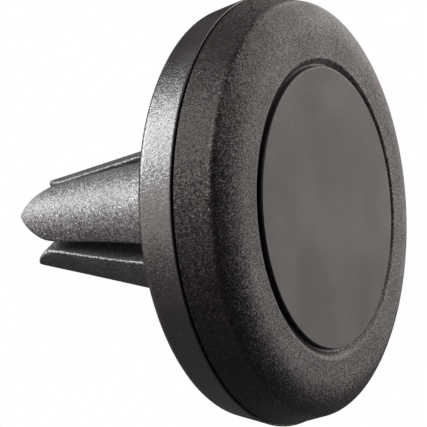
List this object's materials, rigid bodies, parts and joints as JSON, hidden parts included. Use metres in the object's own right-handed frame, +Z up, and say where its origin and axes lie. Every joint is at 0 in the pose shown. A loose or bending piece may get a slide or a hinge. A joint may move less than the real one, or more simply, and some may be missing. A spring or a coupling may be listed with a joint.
{
  "type": "car phone mount",
  "caption": "Round magnetic phone mount: a puck-shaped head with an inset face pad on a four-pronged clip that grips an air-vent blade.",
  "frame": {"origin": "on the head's and clip's common axis, at the floor of the crossed slots between the prongs, where the vent blade's front edge stops", "axes": "+Y along the common axis from the phone face to the prong tips, +Z up, square to the level slot; the phone face looks along -Y"},
  "size_m": [0.045, 0.0368, 0.045],
  "materials": {
    "pad_rubber": "smooth matt",
    "adhesive": "clear film",
    "cover_plastic": "fine bright-flecked grain",
    "foam": "open-cell foam",
    "carrier_plastic": "plain moulded",
    "magnet_nickel": "bright nickel plate",
    "steel": "zinc plate",
    "spring_steel": "tempered",
    "ring_plastic": "satin with a fine leather grain",
    "bush_plastic": "natural nylon",
    "brass": "turned",
    "hub_plastic": "plain moulded",
    "clip_plastic": "coarse bright-flecked grain"
  },
  "bodies": {
    "clip": {"clip_hub": "hub_plastic", "hub_sleeve": "clip_plastic", "hub_insert": "brass", "swivel_screw": "steel", "wave_washer": "spring_steel", "flat_washer": "steel"},
    "head": {"face_pad": "pad_rubber", "pad_adhesive": "adhesive", "front_cover": "cover_plastic", "cushion_disc": "foam", "magnet_carrier": "carrier_plastic", "magnet_1": "magnet_nickel", "magnet_2": "magnet_nickel", "magnet_3": "magnet_nickel", "magnet_4": "magnet_nickel", "magnet_5": "magnet_nickel", "magnet_6": "magnet_nickel", "yoke_plate": "steel", "yoke_screws": "steel", "rear_cover": "ring_plastic", "swivel_bush": "bush_plastic"},
    "prong_upper_right": {"prong_upper_right": "clip_plastic", "prong_core_upper_right": "spring_steel"},
    "prong_upper_left": {"prong_upper_left": "clip_plastic", "prong_core_upper_left": "spring_steel"},
    "prong_lower_left": {"prong_lower_left": "clip_plastic", "prong_core_lower_left": "spring_steel"},
    "prong_lower_right": {"prong_lower_right": "clip_plastic", "prong_core_lower_right": "spring_steel"}
  },
  "joints": [
    {"name": "head_swivel", "type": "hinge", "parent": "clip", "child": "head", "pos_m": [0, -0.006, 0], "axis": [0, 1, 0], "continuous": true},
    {"name": "prong_flex_upper_right", "type": "hinge", "parent": "clip", "child": "prong_upper_right", "pos_m": [0.00308, 0.00015, 0.00308], "axis": [0.7071, 0, -0.7071], "range_deg": [0, 6], "stiffness_Nm_per_rad": 0.8},
    {"name": "prong_flex_upper_left", "type": "hinge", "parent": "clip", "child": "prong_upper_left", "pos_m": [-0.00308, 0.00015, 0.00308], "axis": [0.7071, 0, 0.7071], "range_deg": [0, 6], "stiffness_Nm_per_rad": 0.8},
    {"name": "prong_flex_lower_left", "type": "hinge", "parent": "clip", "child": "prong_lower_left", "pos_m": [-0.00308, 0.00015, -0.00308], "axis": [-0.7071, 0, 0.7071], "range_deg": [0, 6], "stiffness_Nm_per_rad": 0.8},
    {"name": "prong_flex_lower_right", "type": "hinge", "parent": "clip", "child": "prong_lower_right", "pos_m": [0.00308, 0.00015, -0.00308], "axis": [-0.7071, 0, -0.7071], "range_deg": [0, 6], "stiffness_Nm_per_rad": 0.8}
  ]
}
